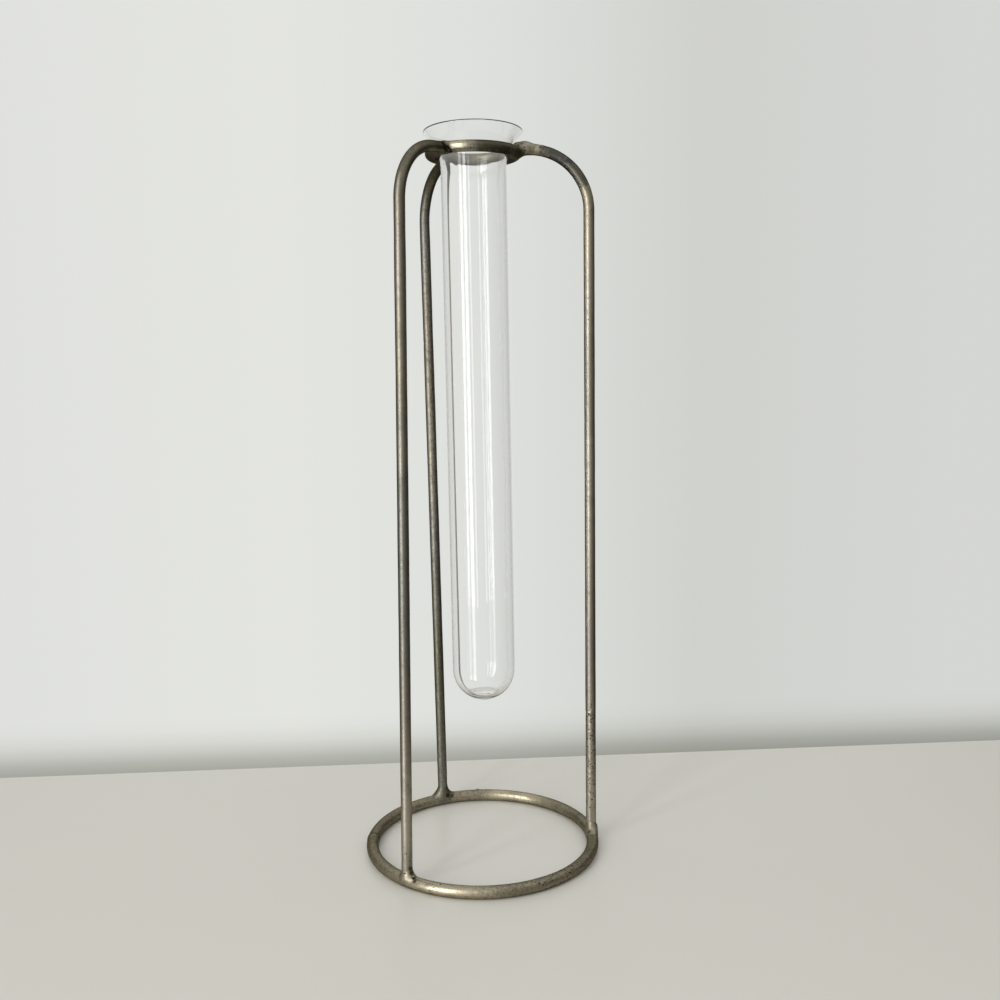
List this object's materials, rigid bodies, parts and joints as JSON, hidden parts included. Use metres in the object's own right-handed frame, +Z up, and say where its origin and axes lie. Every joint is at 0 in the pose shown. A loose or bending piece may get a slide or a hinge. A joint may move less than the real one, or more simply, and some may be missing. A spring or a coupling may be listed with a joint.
{
  "type": "test tube vase",
  "caption": "Bud vase: a clear glass test tube with a flared lip hangs in the collar of a tall brazed wire stand on a round wire base, and lifts straight out.",
  "frame": {"origin": "centre of the base ring, on the surface that it rests on", "axes": "+Z up, -Y front with one leg on the left, +X right"},
  "size_m": [0.076, 0.0758, 0.2277],
  "materials": {
    "aged_brass": "aged, satin, with dark pits",
    "braze_metal": "as brazed, dull",
    "clear_glass": "clear, fire-polished rim"
  },
  "bodies": {
    "stand": {"base_ring": "aged_brass", "collar_ring": "aged_brass", "leg_front_left": "aged_brass", "leg_back_left": "aged_brass", "leg_right": "aged_brass", "base_ring_weld": "braze_metal", "foot_braze_front_left": "braze_metal", "foot_braze_back_left": "braze_metal", "foot_braze_right": "braze_metal", "collar_braze_front_left": "braze_metal", "collar_braze_back_left": "braze_metal", "collar_braze_right": "braze_metal"},
    "tube": {"test_tube": "clear_glass"}
  },
  "joints": [
    {"name": "tube_lift", "type": "slide", "parent": "stand", "child": "tube", "axis": [-0.0087, 0, 1], "range_m": [0, 0.18]}
  ]
}
